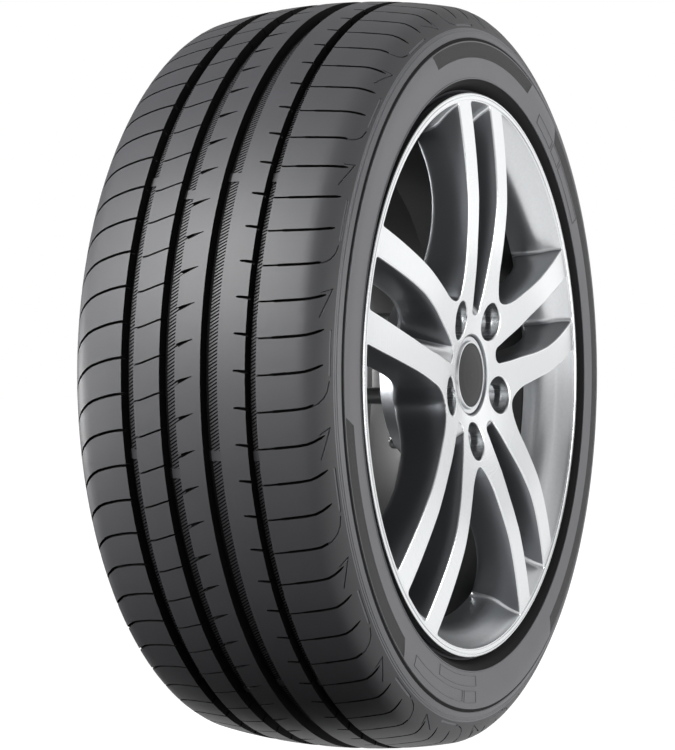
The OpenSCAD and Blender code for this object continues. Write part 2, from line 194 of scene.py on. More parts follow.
room = bpy.data.worlds.new("white_tent")
room.use_nodes = True
tree = room.node_tree
wall = tree.nodes["Background"]
wall.inputs["Color"].default_value = (1, 1, 1, 1)
place = add(tree, "ShaderNodeTexCoord").outputs["Generated"]
facing = add(tree, "ShaderNodeVectorMath", {"operation": "DOT_PRODUCT", 1: WINDOW_SIDE}, {0: place})
shine = add(tree, "ShaderNodeMapRange", {"interpolation_type": "SMOOTHSTEP", "From Min": -0.1, "From Max": 0.8,
                                         "To Min": DIM_SIDE, "To Max": BRIGHT_SIDE}, {0: facing.outputs["Value"]})
seen = add(tree, "ShaderNodeLightPath").outputs["Is Camera Ray"]
strength = add(tree, "ShaderNodeMath", {"operation": "MAXIMUM"}, {0: shine.outputs[0], 1: seen})
tree.links.new(strength.outputs[0], wall.inputs["Strength"])
bpy.context.scene.world = room
bpy.context.scene.view_settings.view_transform = "Standard"
print("the room shines from", DIM_SIDE, "on its dim side to", BRIGHT_SIDE)

# %% [markdown]
# Six soft boxes do the modelling, each a plain rectangle of light with its power in watts. The tread
# light stands high on the inboard side, rakes across the ribs and fades towards the ground, and a low
# fill opens up their middle. The rim light stands behind and draws a thin line down the inboard
# shoulder. The side light is low, before the face, and opens up the sidewall. The flare light is wide
# and weak and fills the bright ends of the windows, and a last small one puts a gloss on the hub.

# %% Soft boxes
def soft_box(name, at, aim, size, power):
    """A rectangular lamp that faces a point."""
    lamp = bpy.data.lights.new(name, "AREA")
    lamp.shape = "RECTANGLE"
    lamp.size, lamp.size_y = size
    lamp.energy = power
    box = bpy.data.objects.new(name, lamp)
    bpy.context.scene.collection.objects.link(box)
    box.location = at
    box.rotation_euler = (Vector(aim) - Vector(at)).to_track_quat("-Z", "Y").to_euler()
    box.visible_camera = False


soft_boxes = (
    ("tread_light", (-1.45, 0.62, 0.85), (-0.3, 0.0, 0.1), (0.9, 0.9), 74),
    ("low_fill", (-1.95, 0.15, -0.15), (-0.3, 0.05, -0.05), (0.6, 0.6), 5),
    ("rim_light", (-0.45, 1.45, -0.1), (-0.15, 0.1, -0.2), (0.5, 0.4), 24),
    ("side_light", (0.5, -2.2, -0.3), (0, -0.1, 0), (1.2, 1.2), 46),
    ("flare_light", (-2.6, -1.7, 0.3), (0, -0.05, 0), (3.0, 2.0), 9),
    ("face_light", (1.0, -0.55, 0.4), (0, -0.06, 0.1), (0.9, 0.7), 0.9))
for lamp_line in soft_boxes:
    soft_box(*lamp_line)
print("set up", len(soft_boxes), "soft boxes")

# %% [markdown]
# Both big pieces are made the same way: a flat drawing is cut into triangles that respect its lines,
# and each point is then lifted to its height and bent round the wheel. A constrained Delaunay
# triangulation does the cutting, so every groove edge stays crisp however the lines cross.

# %% Drawings
def triangulate(loops, lines, dots, keep):
    """Points and triangles of a flat drawing. Loops close, lines do not, and dots stand alone."""
    points, edges = [], []
    for closed, paths in ((True, loops), (False, lines)):
        for path in paths:
            first = len(points)
            points += [Vector(p) for p in path]
            edges += [(first + i, first + i + 1) for i in range(len(path) - 1)]
            if closed:
                edges.append((len(points) - 1, first))
    points += [Vector(p) for p in dots]
    found = delaunay_2d_cdt(points, edges, [], 0, 1e-4, False)
    flat = np.array([tuple(p) for p in found[0]])
    faces = np.array(found[2])
    middles = flat[faces].mean(axis=1)
    return flat, faces[keep(middles[:, 0], middles[:, 1])]


def inside(x, y, loop):
    """Which points lie inside a closed loop."""
    hit = np.zeros(np.shape(x), bool)
    loop = np.asarray(loop)
    for (x0, y0), (x1, y1) in zip(loop, np.roll(loop, -1, axis=0)):
        if y0 != y1:
            hit ^= ((y0 > y) != (y1 > y)) & (x < x0 + (y - y0) * (x1 - x0) / (y1 - y0))
    return hit


def bend(a, b, c, d, steps):
    """Points on a cubic curve."""
    t = np.linspace(0, 1, steps + 1)[:, None]
    a, b, c, d = (np.array(p, float) for p in (a, b, c, d))
    return (1 - t) ** 3 * a + 3 * (1 - t) ** 2 * t * b + 3 * (1 - t) * t * t * c + t ** 3 * d

# %% [markdown]
# A shell gathers patches of faces, each with its finish, and welds them at the end. Points that meet
# become one, so the piece is closed, and the edges sharper than its crease angle stay crisp.

# %% Shells
class Shell:
    """A skin gathered from patches, then welded into one piece."""

    def __init__(self):
        self.points, self.faces, self.finishes, self.count = [], [], [], 0

    def patch(self, points, faces, finish):
        """Points in metres and faces by index. A finish is one number, or one for each face."""
        faces = np.asarray(faces)
        self.points.append(np.asarray(points, float))
        self.faces += (faces + self.count).tolist()
        self.finishes.append(np.resize(finish, len(faces)))
        self.count += len(points)

    def rings(self, rings, finish):
        """Quads between closed rings of as many points. A finish is one number, one a ring, or one a quad."""
        n = len(rings[0])
        step = np.arange(n)
        faces = [np.stack([step + i * n, (step + 1) % n + i * n, (step + 1) % n + (i + 1) * n, step + (i + 1) * n], 1)
                 for i in range(len(rings) - 1)]
        finish = np.repeat(finish, len(step)) if np.ndim(finish) == 1 else np.ravel(finish)
        self.patch(np.concatenate(rings), np.concatenate(faces), finish)

    def finish(self, name, materials, crease):
        """One welded mesh, smooth except where it turns by more than the crease angle."""
        mesh = bpy.data.meshes.new(name)
        mesh.from_pydata(np.concatenate(self.points), [], self.faces)
        mesh.polygons.foreach_set("material_index", np.concatenate(self.finishes).astype(np.int32))
        work = bmesh.new()
        work.from_mesh(mesh)
        bmesh.ops.remove_doubles(work, verts=work.verts, dist=4e-6)
        bmesh.ops.dissolve_degenerate(work, edges=work.edges, dist=1e-7)
        loose = [v for v in work.verts if not v.link_faces]
        bmesh.ops.delete(work, geom=loose, context="VERTS")
        open_edges = sum(len(e.link_faces) != 2 for e in work.edges)
        bmesh.ops.recalc_face_normals(work, faces=work.faces)
        work.to_mesh(mesh)
        work.free()
        mesh.shade_smooth()
        mesh.set_sharp_from_angle(angle=math.radians(crease))
        for material in materials:
            mesh.materials.append(material)
        piece = bpy.data.objects.new(name, mesh)
        bpy.context.scene.collection.objects.link(piece)
        print(name, "has", len(mesh.polygons), "faces and", open_edges, "edges that are not shared by two")
        return piece

# %% [markdown]
# A radial road tyre is moulded, so its section is the same all the way round. Its outer line runs
# from the crown over the shoulder and down the sidewall to the bead, and distance along that line
# is the ruler for everything moulded on it. The curves are the drawing's own.

# %% The tyre's section
TYRE_R = 317.15
WIDE = 113.7
SEAT_R = 218.3
FLANGE_R = 236.3
SHOULDER = WIDE - 21.7


def crown(s):
    """Radius of the tread at distance s from the tyre's middle."""
    return TYRE_R - np.square(s) / 1072 - (np.abs(s) / 100) ** 4


across = np.linspace(0, SHOULDER, 93)
section = np.concatenate([
    np.stack([crown(across), across], 1),
    bend((crown(SHOULDER), SHOULDER), (crown(SHOULDER) - 1.9, SHOULDER + 9),
         (TYRE_R - 23, WIDE - 4.5), (TYRE_R - 40, WIDE - 0.2), 40)[1:],
    bend((TYRE_R - 40, WIDE - 0.2), (TYRE_R - 50, WIDE + 0.3),
         (FLANGE_R + 23, 112.65), (FLANGE_R + 13, 112.05), 24)[1:],
    bend((FLANGE_R + 13, 112.05), (FLANGE_R + 8, 111.65),
         (FLANGE_R + 6, 106.25), (FLANGE_R + 2.5, 101.25), 16)[1:]])
ruler = np.concatenate([[0], np.cumsum(np.hypot(*np.diff(section, axis=0).T))])
slopes = np.gradient(section, ruler, axis=0)
SKIN_END = float(ruler[-1])
print("from the crown to the rim flange the skin measures", round(SKIN_END, 1), "mm")


def skin(u, lift):
    """Radius and distance outboard of a point u along the section, lifted off it. Inboard u is negative."""
    along = np.abs(u)
    r, s = (np.interp(along, ruler, section[:, k]) for k in (0, 1))
    dr, ds = (np.interp(along, ruler, slopes[:, k]) for k in (0, 1))
    return r + ds * lift, np.sign(u) * (s - dr * lift)


def u_of(s):
    """Distance along the section for a distance outboard, as far as the widest point."""
    wide = int(np.argmax(section[:, 1]))
    return np.sign(s) * np.interp(np.abs(s), section[:wide, 1], ruler[:wide])

# %% [markdown]
# The tread pattern repeats every five degrees, and its outer ends take turns: two plain, one hooked
# like a J, one under a small arrow head. Twenty degrees are drawn flat, in millimetres round and
# across, and stamped eighteen times. A cut is a stroke with a width and a depth at each of its points.
# Neighbouring tiles share every point on the line between them, so no loose point may lie on it.

# %% Strokes
ROUND = math.pi * TYRE_R / 180
TILES = 18
TILE = 360 / TILES * ROUND
PITCH = TILE / 4
TILE_START = 132.58
RING_EDGE = 119.0
DRAFT = 0.3


def stroke(path, widths, depth, shift=0.0):
    """A cut along a path of (round, across) points, with half widths taken from the full ones."""
    path = np.array(path, float) + (shift, 0)
    stops = np.linspace(0, 1, len(path))
    half = np.interp(stops, np.linspace(0, 1, len(widths)), widths) / 2
    return {"path": path, "half": half, "depth": depth}


def border(cut, inset):
    """The closed line round a stroke, moved inwards by an inset."""
    path, half = cut["path"], np.maximum(cut["half"] - inset, 0.04)
    legs = np.diff(path, axis=0)
    legs /= np.linalg.norm(legs, axis=1)[:, None]
    before, after = np.vstack([legs[:1], legs]), np.vstack([legs, legs[-1:]])
    way = before + after
    way /= np.linalg.norm(way, axis=1)[:, None]
    reach = (half / np.clip((way * before).sum(1), 0.7, 1))[:, None]
    side = np.stack([-way[:, 1], way[:, 0]], 1) * reach
    tips = path[-1] + legs[-1] * half[-1], path[0] - legs[0] * half[0]
    return np.vstack([path + side, tips[:1], (path - side)[::-1], tips[1:]])


def under(cut, a, u, inset):
    """Which points lie in a stroke, at least an inset inside its edge."""
    best = np.full(np.shape(a), -1e9)
    for (p, q, h0, h1) in zip(cut["path"][:-1], cut["path"][1:], cut["half"][:-1], cut["half"][1:]):
        leg = q - p
        t = np.clip(((a - p[0]) * leg[0] + (u - p[1]) * leg[1]) / (leg @ leg), 0, 1)
        gap = np.hypot(a - p[0] - t * leg[0], u - p[1] - t * leg[1])
        best = np.maximum(best, h0 + (h1 - h0) * t - gap)
    return best > inset

# %% [markdown]
# One repeat of the pattern has a long bent cut on the inboard shoulder, a thin one across the next
# rib, a notch in the middle rib, a short one in the rib beyond it, and a cut on the outer shoulder. The
# hook and the arrow head are given in degrees round and millimetres along, with widths and a depth.

# %% One repeat of the pattern
HOOK = (([(-0.85, 102.3), (-1.07, 105.1), (-1.8, 110.1), (-2.8, 113.6), (-4.2, 115.4)], (1.6, 1.1, 1.0), 2.5),
        ([(-5.0, 115.9), (-8.2, 116.1), (-11.5, 116.0)], (2.2, 2.2), 0.7))
ARROW = (([(-1.73, 105.6), (-2.6, 115.1)], (1.1, 1.1), 1.6),
         ([(-2.6, 115.1), (-0.4, 110.2), (1.8, 105.3)], (1.1, 1.1), 1.6))
OUTER_ENDS = ((109.6, ()), (109.6, ()), (102.5, HOOK), (109.4, ARROW))


def pitch_strokes(number):
    """The cuts of one repeat of the pattern, by its place in the tile."""
    at = number * PITCH
    inner = [(0, -55.5), (0.6, -62), (2, -70), (3.8, -77), (6, -84), (8.6, -89), (12, -93),
             (16, -97), (20, -100), (25, -103.5), (30, -106)]
    cuts = [stroke([(d, u_of(s)) for d, s in inner], (2.2, 2.2, 2.2, 2.0, 1.6), 5.5, at),
            stroke([(5.8, -47.5), (5.7, -45), (4.9, -40), (2.6, -33), (0.2, -26), (-0.9, -22), (-1.6, -19.5)],
                   (1.5, 1.5), 5, at),
            stroke([(-6.9, -10.5), (-8.1, -8), (-10.2, -3), (-12, 2), (-13.3, 5.9)],
                   (3.2, 3.2, 2.6, 1.4, 0.5), 4.5, at),
            stroke([(-17.5, 40.2), (-17.3, 44), (-16.6, 49.5), (-16.3, 52)], (1.5, 2.1, 2.5, 2.5), 5, at)]
    base = at + 14.1
    end, extras = OUTER_ENDS[number]
    outer = np.concatenate([[54.5, 62, 69, 71], np.arange(76, end, 5), [end]])
    drift = np.interp(outer, [57.6, 70.1, 85.1, 95.1, 102.1, 109.6], [0, -0.83, -1.94, -3.04, -5.26, -8.58])
    widths = np.where(outer < 70, 1.5, 2.2)
    widths[-1] = 1.0
    cuts.append({"path": np.stack([base + drift, outer], 1), "half": widths / 2, "depth": 5})
    cuts += [stroke([(t * ROUND, u) for t, u in path], wide, deep, base) for path, wide, deep in extras]
    return cuts


strokes = [cut for number in range(4) for cut in pitch_strokes(number)]
print("a tile of", round(TILE, 1), "mm holds", len(strokes), "cuts")

# %% [markdown]
# Four straight grooves carry the water. Their floors bear fine slanting ridges on the outboard side
# and a low bar every forty degrees that shows when the tread is worn out. The ridges are real ones,
# a little over half a millimetre high, because they catch the light from this side.

# %% Grooves, ridges and wear bars
GROOVE_DEPTH = 8.0
GROOVE_WALL = 0.9
grooves = ((-56.7, -45.1), (-22.2, -8.6), (12.8, 27.0), (49.2, 57.9))
ridge_starts = (-54.6, -19.3, 16.2, 50.9)
RIDGE_STEP = TILE / 40
RIDGE_SLANT = 0.62
RIDGE_HIGH = 0.6
RIDGE_TOP = 0.82
RIDGE_LINES = ((0.95, 0.0), (0.7, 0.2))
BAR_HIGH = 1.6
BAR_TOP = 4.1
BAR_LINES = (4.25, 3.95)
BAR_GAP = 0.85
wear_bars = {"A": ((103.1, 0), (103.1, 2), (103.1, 3)), "B": ((6.8, 1),)}
print(len(grooves), "grooves", GROOVE_DEPTH, "mm deep, with ridges", round(RIDGE_STEP, 2), "mm apart")


def ridge_phase(a, u, start):
    """How far round a point is from the middle of the nearest ridge."""
    return (a + (u - start) * RIDGE_SLANT + RIDGE_STEP / 2) % RIDGE_STEP - RIDGE_STEP / 2


def tread_depth(a, u, kind):
    """Depth of the tread below its crown at each point of a tile."""
    depth = np.zeros(len(a))
    for cut in strokes:
        for shift in (-TILE, 0, TILE):
            depth = np.where(under(cut, a - shift, u, DRAFT / 2), np.maximum(depth, cut["depth"]), depth)
    for (low, high), start in zip(grooves, ridge_starts):
        floor = (u > low + GROOVE_WALL / 2) & (u < high - GROOVE_WALL / 2)
        ridge = (np.abs(ridge_phase(a, u, start)) < RIDGE_TOP) & (u > start + 0.1) & (u < high - 1.1)
        depth = np.where(floor, GROOVE_DEPTH - RIDGE_HIGH * ridge, depth)
    for at, number in wear_bars[kind]:
        low, high = grooves[number]
        bar = (np.abs(a - at) < BAR_TOP) & (u > low + GROOVE_WALL / 2) & (u < high - GROOVE_WALL / 2)
        depth = np.where(bar, GROOVE_DEPTH - BAR_HIGH, depth)
    return depth

# %% [markdown]
# A tile is drawn with every line that its relief needs: its border, the walls of the grooves, the foot
# and the top of each ridge and bar, and each stroke twice, at the top of its wall and at its foot.
# Loose points fill the ribs between, so that they bend evenly round the tyre.

# %% One tile
def tread_tile(kind):
    """Triangles of one tile, with the depth of each point."""
    columns = np.arange(21) * ROUND
    rungs = np.linspace(-RING_EDGE - 1, RING_EDGE + 1, 97)
    lines = [[(edge, u) for u in rungs] for edge in (0, TILE)]
    lines += [[(c, side * RING_EDGE) for c in columns] for side in (-1, 1)]
    loops = []
    for low, high in grooves:
        walls = (low, low + GROOVE_WALL, high - GROOVE_WALL, high)
        lines += [[(c, u) for c in np.arange(-1, 22) * ROUND] for u in walls]
    for (low, high), start in zip(grooves, ridge_starts):
        end = high - 1.0
        for i in range(-3, 43):
            for half, inset in RIDGE_LINES:
                corners = [(start + inset, -half), (end - inset, -half), (end - inset, half), (start + inset, half)]
                loops.append([(i * RIDGE_STEP - (u - start) * RIDGE_SLANT + h, u) for u, h in corners])
    for at, number in wear_bars[kind]:
        low, high = grooves[number]
        left, right = low + BAR_GAP, high - BAR_GAP
        for half in BAR_LINES:
            loops.append([(at - half, left), (at + half, left), (at + half, right), (at - half, right)])
    for cut in strokes:
        for shift in (-TILE, 0, TILE):
            low, high = cut["path"][:, 0].min() + shift, cut["path"][:, 0].max() + shift
            if high > -4 and low < TILE + 4:
                loops += [border(cut, inset) + (shift, 0) for inset in (0, DRAFT)]
    rows = [-116, -112.5, -109, -105.5, -102, -98, -93, -88, -80, -72, -64, -37, -29, -3, 4, 34, 42,
            64, 72, 80, 88, 93, 98, 102, 105.5, 109, 112.5, 116]
    grid = np.array([(c + ROUND * (0.25 + 0.5 * (k % 2)), u) for k, u in enumerate(rows) for c in columns[:-1]])
    clear = np.ones(len(grid), bool)
    for cut in strokes:
        for shift in (-TILE, 0, TILE):
            clear &= ~under(cut, grid[:, 0] - shift, grid[:, 1], -0.9)
    inside_tile = lambda a, u: (a > 0) & (a < TILE) & (np.abs(u) < RING_EDGE)
    flat, faces = triangulate(loops, lines, grid[clear], inside_tile)
    return flat, faces, tread_depth(flat[:, 0], flat[:, 1], kind)

# %% [markdown]
# Eighteen tiles close the ring. The walls and floors of the cuts get a nearly black rubber: painted
# shade, for the light that does not reach into them. The ribs, the tops of the ridges and the wear
# bars get the grey one, and the very shallow cuts of the shoulder get the finish of the sidewall.

# %% Stamp the tread
TREAD, CUT_SHADE, SIDE, KNURL = range(4)
tyre = Shell()
for kind, first in (("A", 0), ("B", 1)):
    flat, faces, depth = tread_tile(kind)
    radius, out = skin(flat[:, 1], -depth)
    low = depth[faces].max(axis=1)
    # Faces in the cuts get the nearly black rubber: painted shade.
    finish = np.where(low > 0.5, CUT_SHADE, TREAD)
    middle = flat[faces].mean(axis=1)
    for (_, end_u), start in zip(grooves, ridge_starts):
        on_floor = (middle[:, 1] > start) & (middle[:, 1] < end_u - 0.9) & (depth[faces].min(axis=1) > 5.9)
        finish = np.where(on_floor & (low < GROOVE_DEPTH - 0.1), TREAD, finish)
    finish = np.where((low < 3) & (low > 0), SIDE, finish)
    for k in range(first, TILES, 2):
        tyre.patch(stand_ring(radius, TILE_START + 360 / TILES * k + flat[:, 0] / ROUND, out), faces, finish)
    print("tile", kind, "has", len(faces), "triangles")

# %% [markdown]
# The sidewall is drawn the same way, unrolled all the way round. It has two fine ridges under the
# shoulder, a sunk ring, a plain band framed by hair lines, a rim that stands proud beside the wheel,
# curved panels of fine knurling, and small plain frames of raised hair line. The panels and frames
# are on the outer side only.

# %% Lines of the sidewall
SEAM = -79.42
ROUND_RING = 360 * ROUND
PANEL_SINK = 0.35
PANEL_LEAN = 1.6
HAIR_WIDE = 0.8
HAIR_HIGH = 0.4
SUNK_BAND = (127.6, 130.4)
RIM_SHADE = 162.1
levels = [(119, 0), (120.2, 0), (120.5, 0.35), (120.8, 0.35), (121.1, 0), (122.2, 0), (122.5, 0.35), (122.8, 0.35),
          (123.1, 0), (127.3, 0), (127.7, -0.7), (130.3, -0.7), (130.7, 0), (135.5, 0), (140.5, 0), (145, 0), (150, 0),
          (155.5, 0), (160.9, 0), (161.2, 0.6), (161.9, 0.6), (162.2, -0.1), (165, -0.2), (168.5, 0),
          (SKIN_END, 0)]
panels = ((66.9, 114.2, 131.2, 144.6), (186.5, 232.3, 131.2, 144.6), (303.5, 413.5, 131.2, 144.6))
boxes = ((33, 46.7, 145.8, 154.6), (47.4, 52, 145.8, 154.6), (52.7, 61.3, 145.8, 154.6), (236.5, 258.7, 136, 145.4),
         (259.6, 265, 136, 145.4), (247.7, 265.3, 149.5, 158))


def panel_loop(panel, inset):
    """The slanted outline of a panel, as a loop of (degrees, along) points."""
    start, end, low, high = panel
    degrees = np.linspace(start, end, int((end - start) / 2) + 2)
    lean = PANEL_LEAN
    bottom = [(d + lean, high - inset) for d in degrees[1:-1]]
    top = [(d, low + inset) for d in degrees[::-1]]
    ends = (start + lean + inset / 4.8, high - inset), (end - lean - inset / 4.8, high - inset)
    top[0], top[-1] = (end - inset / 4.8, low + inset), (start + inset / 4.8, low + inset)
    bottom = [p for p in bottom if ends[0][0] + 1 < p[0] < ends[1][0] - 1]
    return np.array([ends[0], *bottom, ends[1], *top])


def box_strokes(box):
    """Four raised hair lines that make a frame on the sidewall."""
    start, end, low, high = box
    across = [(d, low) for d in np.linspace(start, end, 6)]
    back = [(d, high) for d in np.linspace(start, end, 6)]
    sides = [[(start, low), (start, high)], [(end, low), (end, high)]]
    return [stroke([((d - SEAM) * ROUND, u) for d, u in path], (HAIR_WIDE, HAIR_WIDE), -HAIR_HIGH)
            for path in (across, back, *sides)]

# %% [markdown]
# The ring is one long strip, cut open at a seam and lifted by its levels. A panel that crosses the
# seam is drawn twice, a whole turn apart, and each end of the strip keeps its share.

# %% Sidewall rings
def sidewall(side, with_panels):
    """One sidewall ring, from the tread's edge down to the rim flange."""
    columns = np.arange(361) * ROUND
    loops, hairs = [], []
    wrap = lambda loop: np.stack([(loop[:, 0] - SEAM) * ROUND, loop[:, 1]], 1)
    rings_of = [[wrap(panel_loop(panel, inset)) for inset in (0, PANEL_SINK)] for panel in panels]
    if with_panels:
        loops += [loop + (shift, 0) for pair in rings_of for loop in pair for shift in (-ROUND_RING, 0)
                  if loop[:, 0].min() + shift < ROUND_RING and loop[:, 0].max() + shift > 0]
        hairs = [hair for box in boxes for hair in box_strokes(box)]
        loops += [border(hair, inset) for hair in hairs for inset in (0, 0.2)]
    lines = [[(c, u) for c in columns] for u, _ in levels]
    lines += [[(c, levels[0][0]), (c, levels[-1][0])] for c in (0.0, ROUND_RING)]
    keep = lambda a, u: (a > 0) & (a < ROUND_RING) & (u > levels[0][0]) & (u < levels[-1][0])
    flat, faces = triangulate(loops, lines, [], keep)
    a, u = flat[:, 0], flat[:, 1]
    lift = np.interp(u, *np.array(levels).T)
    middle = flat[faces].mean(axis=1)
    knurled = np.zeros(len(faces), bool)
    if with_panels:
        for outer, inner in rings_of:
            for shift in (-ROUND_RING, 0):
                lift = np.where(inside(a, u, (outer + inner) / 2 + (shift, 0)), -PANEL_SINK, lift)
                knurled |= inside(middle[:, 0], middle[:, 1], inner + (shift, 0))
        for hair in hairs:
            lift = np.where(under(hair, a, u, 0.1), HAIR_HIGH, lift)
    if side < 0:
        faces = faces[:, ::-1]
    radius, out = skin(side * u, lift)
    finish = np.where(knurled, KNURL, SIDE)
    # The sunk ring and the strip below the proud rim get the same nearly black rubber: painted shade.
    sunk = (middle[:, 1] > SUNK_BAND[0]) & (middle[:, 1] < SUNK_BAND[1])
    finish = np.where(sunk | (middle[:, 1] > RIM_SHADE), CUT_SHADE, finish)
    tyre.patch(stand_ring(radius, SEAM + a / ROUND, out), faces, finish)
    print("a sidewall has", len(faces), "triangles")


sidewall(1, True)
sidewall(-1, False)

# %% [markdown]
# Below the flange the bead sits on the rim, and inside is the smooth liner that holds the air. Both
# are plain turned shapes, so the section is swept round and joined to the two sidewalls.

# %% Bead and liner
bead_angles = np.radians([310, 297, 283, 270])
bead = np.concatenate([
    section[-1:], np.stack([226.8 + 9.8 * np.cos(bead_angles), 104.75 + 9.8 * np.sin(bead_angles)], 1),
    [(223.6, 94.95), (220.2, 93.55), (218.25, 90.95), (217.03, 77.25)],
    bend((SEAT_R + 1, 75.75), (SEAT_R + 18, 83.25), (SEAT_R + 26, WIDE - 11.6), (TYRE_R - 49, WIDE - 7.6), 7),
    bend((TYRE_R - 49, WIDE - 7.6), (TYRE_R - 32, WIDE - 7.1), (TYRE_R - 18, SHOULDER + 4),
         (TYRE_R - 16.5, SHOULDER - 18), 7)[1:], [(TYRE_R - 15.3, 40)]])
whole = np.concatenate([bead, bead[::-1] * (1, -1)])
degrees = SEAM + np.arange(360)
tyre.rings([stand_ring(r, degrees, s) for r, s in whole], SIDE)
print("swept the beads and the liner through", len(whole), "rings")

# %% [markdown]
# The wheel is one aluminium casting with its face machined afterwards. Its spokes form a shallow dish:
# the face stands highest two thirds of the way out, and the back follows it until it meets the pad
# that bolts to the hub. Two height curves say this, and everything else on the wheel refers to them.

# %% The dish
def face_height(r):
    """Distance outboard of the wheel's face at a radius."""
    inner = 15.2 * (np.clip(150 - r, 0, 114) / 114) ** 1.6
    outer = 7.35 * (np.clip(r - 150, 0, None) / 80.3) ** 1.6
    return 115.7 - inner - outer


def back_height(r):
    """Distance outboard of the wheel's back at a radius: flat pad, cone, then the spokes' backs."""
    spoke = 82.7 - 22 * (np.clip(150 - r, 0, 73) / 73) ** 2 - 18.5 * (np.clip(r - 150, 0, None) / 63) ** 2
    return np.where(r < 77, np.interp(r, [72, 77], [MOUNT_FACE, 60.7]), spoke)


print("a spoke is", round(float(face_height(150.0) - back_height(150.0)), 1), "mm deep at its crown")

# %% [markdown]
# Five wide windows and five narrow gaps leave the ten spokes. Each opening is a soft ended wedge that
# grows a little narrower towards the back, as the casting's draft needs, and its outer end flares out
# like a trumpet to meet the rim. Half of each outline is drawn and mirrored, level by level.

# %% Outlines of the openings
FLARE = ((67, 208), (75, 210), (81.25, 211), (87, 213), (92, 216), (97.75, 221.3), (103, 225.6), (107.3, 228.9),
         (108.15, 229.2), (108.5, 229.5))
WIDE_SIDE = ((90, 18.6), (104, 27), (121, 37.4), (138, 47.6), (155, 57.9), (172, 68.6), (189, 79.4), (240, 113))
TWIN_SIDE = ((50, 6.6), (57.5, 7.5), (70, 9.9), (92, 12.9), (116, 17.2), (142, 20), (165, 21), (182, 21.3),
             (240, 21.6))
EDGE = 1.2
CAST_DRAFT = 2.4
DEPTHS = (0.05, 0.12, 0.2, 0.3, 0.4, 0.5, 0.6, 0.7, 0.8, 0.88, 0.95)
STEPS = [(0, 0, -EDGE), (0, -0.35, -0.35), (0, -EDGE, 0)]
STEPS += [(q, 2 * EDGE * q - EDGE, CAST_DRAFT - CAST_DRAFT * (1 - q) ** 5) for q in DEPTHS]
STEPS += [(1, EDGE, 2), (1, 0.35, 1.65), (1, 0, 0.8)]


def opening(kind, share, lift, inset):
    """One level of an opening drawn along the first axis: its loop and the height of each point."""
    side = np.array(WIDE_SIDE if kind == "wide" else TWIN_SIDE)
    half_width = lambda u: np.interp(u, side[:, 0], side[:, 1]) - inset
    if kind == "wide":
        nose = 77.8 + 1.7 * share + inset
        join = nose + 22
        nose_line = bend((nose, 0), (nose, 8), (nose + 13.5, half_width(join) - 4.6), (join, half_width(join)), 10)
        corner_reach = 2.5 + 2.5 * share
    else:
        nose = float(np.interp(share, [0, 0.4, 1], [50.5, 61, 78])) + inset
        join = nose + 8
        wide = half_width(join)
        nose_line = bend((nose, 0), (nose, wide * 0.62), (nose + 3, wide), (join, wide), 10)
        corner_reach = 4
    reach = float(np.interp(108.47 - 41.45 * share + lift, *np.array(FLARE).T))
    low, high = 100.0, 240.0
    for _ in range(40):
        middle = (low + high) / 2
        low, high = (middle, high) if math.hypot(middle, half_width(middle)) < reach else (low, middle)
    corner = np.array([low, half_width(low)])
    turn = math.atan2(corner[1], corner[0]) - corner_reach / reach
    along = np.linspace(join, low - corner_reach, 25)[1:]
    side_line = np.stack([along, half_width(along)], 1)
    arc_start = reach * np.array([math.cos(turn), math.sin(turn)])
    fillet = bend(side_line[-1], side_line[-1] + (corner - side_line[-1]) * 0.6,
                  arc_start + (corner - arc_start) * 0.6, arc_start, 5)[1:]
    sweep = np.linspace(turn, 0, 13)[1:]
    half = np.concatenate([nose_line, side_line, fillet, reach * np.stack([np.cos(sweep), np.sin(sweep)], 1)])
    loop = np.concatenate([half, half[-2:0:-1] * (1, -1)])
    radius = np.hypot(*loop.T)
    top, bottom = face_height(radius), back_height(np.maximum(radius, 77.2))
    return loop, top * (1 - share) + bottom * share + lift

# %% [markdown]
# The wheel has five openings of each kind, so one loop serves for all five, turned about the axis. The
# bolts stand on their circle between neighbouring pairs of spokes, in line with the wide windows.

# %% Openings round the wheel
def turned(loop, degrees):
    """A loop turned round the wheel's axis."""
    c, s = math.cos(math.radians(degrees)), math.sin(math.radians(degrees))
    return loop @ np.array([[c, s], [-s, c]])


def circle(radius, count, middle=(0.0, 0.0)):
    """A ring of points in the drawing."""
    angle = np.arange(count) * 2 * math.pi / count
    return np.stack([middle[0] + radius * np.cos(angle), middle[1] + radius * np.sin(angle)], 1)


openings = [("wide", 54 + 72 * k) for k in range(5)] + [("twin", 90 + 72 * k) for k in range(5)]
pockets = [turned(np.array([[56.0, 0.0]]), 54 + 72 * k)[0] for k in range(5)]
print("the loop of an opening has", len(opening("wide", 0, 0, 0)[0]), "points")

# %% [markdown]
# Front and back are flat drawings with the openings, the bolt pockets and the hub's recess cut out.
# Loose points on rings between them keep the triangles small, so the dish stays smooth.
#
# Each opening's wall joins its two outlines. The lacquer of the face runs round its edge, then the wall
# is silver paint, apart from the flared outer end and the ramp at the root of a twin gap: those get a
# lighter silver, a painted highlight where these faces catch the light.

# %% Face, back and the walls between
LACQUER, PAINT, BARREL_SHADE, BRIGHT = range(4)
RIM_COLUMNS = 240
DOT_STEP = 7
RING_STEP = 6.5
DOT_CLEAR = 2.6
HALF_LOOP = len(opening("wide", 0, 0, 0)[0]) // 2 + 1
FLARE_START = HALF_LOOP - 17
RAMP_END = 7
EDGE_RINGS = 2
wheel = Shell()


